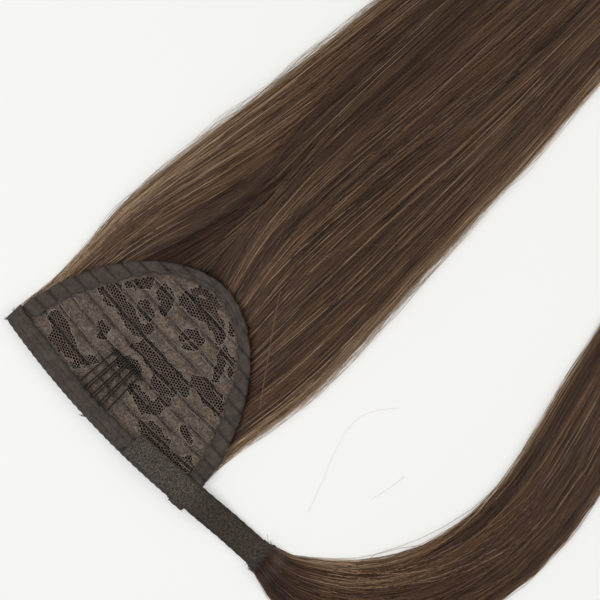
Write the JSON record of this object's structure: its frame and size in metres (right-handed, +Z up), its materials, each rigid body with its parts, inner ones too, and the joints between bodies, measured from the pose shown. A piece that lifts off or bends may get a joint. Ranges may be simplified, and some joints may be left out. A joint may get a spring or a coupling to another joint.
{
  "type": "wrap-around ponytail hairpiece",
  "caption": "Clip-in ponytail hairpiece: a D-shaped lace base with a wire comb, a strap that ends in a wrap lock, and a long straight tail of hair.",
  "frame": {"origin": "on the table that the hairpiece lies on, under the middle of the base's straight edge", "axes": "+X from the straight edge along the tail to its tips, +Y across the base away from the strap, +Z up from the table to the inside of the lace"},
  "size_m": [0.41, 0.2623, 0.0156],
  "materials": {
    "lace": "matt brown stretch lace with floral motifs and open net",
    "tape": "matt dark brown folded tape",
    "strap": "fuzzy dark brown hook-and-loop tape",
    "hair": "straight brown hair with a soft sheen",
    "comb_steel": "dark coated spring-steel wire"
  },
  "bodies": {
    "root": {"lace_panel": "lace", "top_band": "tape", "edge_binding": "tape", "weft_row_1": "hair", "weft_row_2": "hair", "weft_row_3": "hair", "weft_row_4": "hair", "weft_row_5": "hair", "weft_row_6": "hair", "weft_row_7": "hair", "weft_row_8": "hair", "weft_row_9": "hair", "comb": "comb_steel", "strap": "strap", "lock_seam": "tape", "wrap_lock": "hair", "tail_hair": "hair"}
  },
  "joints": []
}
